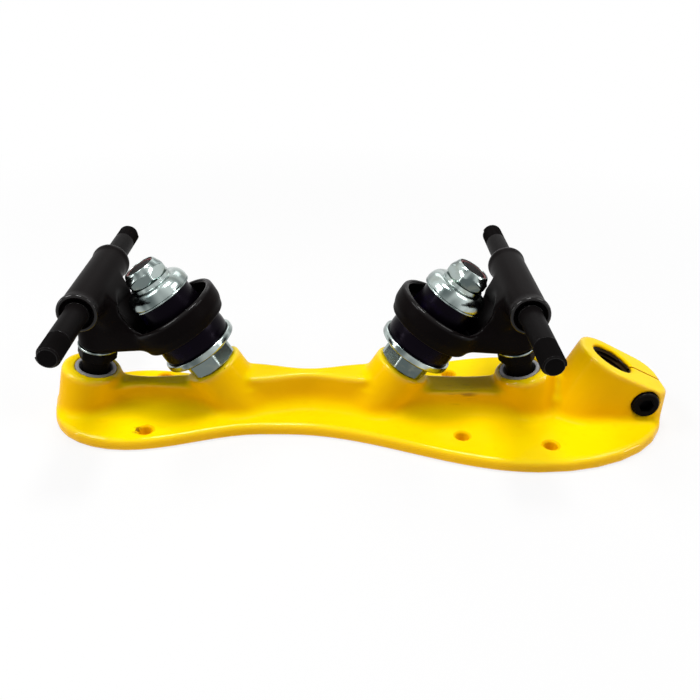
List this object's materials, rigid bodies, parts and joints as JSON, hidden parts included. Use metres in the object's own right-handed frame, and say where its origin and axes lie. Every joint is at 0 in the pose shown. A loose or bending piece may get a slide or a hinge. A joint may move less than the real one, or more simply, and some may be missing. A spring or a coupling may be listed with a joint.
{
  "type": "roller skate plate",
  "caption": "Nylon quad skate plate with two cushioned steering trucks, bare wheel axles and a clamped toe-stop socket",
  "frame": {"origin": "on the flat boot face, midway between the two axles", "axes": "+X towards the toe, +Y to the left, +Z away from the boot, towards the wheels"},
  "size_m": [0.2358, 0.1144, 0.0666],
  "materials": {
    "yellow_nylon": "glossy moulded nylon",
    "coated_black": "satin black coat",
    "black_steel": "black oxide",
    "zinc_steel": "bright zinc plate",
    "urethane": "smooth black urethane",
    "grey_plastic": "moulded",
    "red_plastic": "nylon locking ring"
  },
  "bodies": {
    "plate": {"base_plate": "yellow_nylon", "toe_stop_sleeve": "black_steel", "toe_clamp_screw": "black_steel", "toe_clamp_nut": "zinc_steel", "front_pivot_cup": "grey_plastic", "front_kingpin": "black_steel", "front_kingpin_insert": "black_steel", "front_kingpin_jam_nut": "zinc_steel", "front_lower_washer": "zinc_steel", "front_lower_cushion": "urethane", "front_upper_cushion": "urethane", "front_cushion_cup": "zinc_steel", "front_kingpin_nut": "zinc_steel", "front_nut_lock_ring": "red_plastic", "rear_pivot_cup": "grey_plastic", "rear_kingpin": "black_steel", "rear_kingpin_insert": "black_steel", "rear_kingpin_jam_nut": "zinc_steel", "rear_lower_washer": "zinc_steel", "rear_lower_cushion": "urethane", "rear_upper_cushion": "urethane", "rear_cushion_cup": "zinc_steel", "rear_kingpin_nut": "zinc_steel", "rear_nut_lock_ring": "red_plastic"},
    "front_truck": {"front_hanger": "coated_black", "front_axle": "black_steel", "front_pivot_pin": "black_steel", "front_pivot_nut": "black_steel", "front_pivot_washer": "zinc_steel"},
    "rear_truck": {"rear_hanger": "coated_black", "rear_axle": "black_steel", "rear_pivot_pin": "black_steel", "rear_pivot_nut": "black_steel", "rear_pivot_washer": "zinc_steel"}
  },
  "joints": [
    {"name": "front_steer", "type": "hinge", "parent": "plate", "child": "front_truck", "pos_m": [0.0823, 0, 0.017], "axis": [-0.8421, 0, 0.5393], "range_deg": [-7, 7], "stiffness_Nm_per_rad": 30, "deforming": ["front_lower_cushion", "front_upper_cushion"]},
    {"name": "rear_steer", "type": "hinge", "parent": "plate", "child": "rear_truck", "pos_m": [-0.0823, 0, 0.017], "axis": [0.8421, 0, 0.5393], "range_deg": [-7, 7], "stiffness_Nm_per_rad": 30, "deforming": ["rear_lower_cushion", "rear_upper_cushion"]}
  ]
}
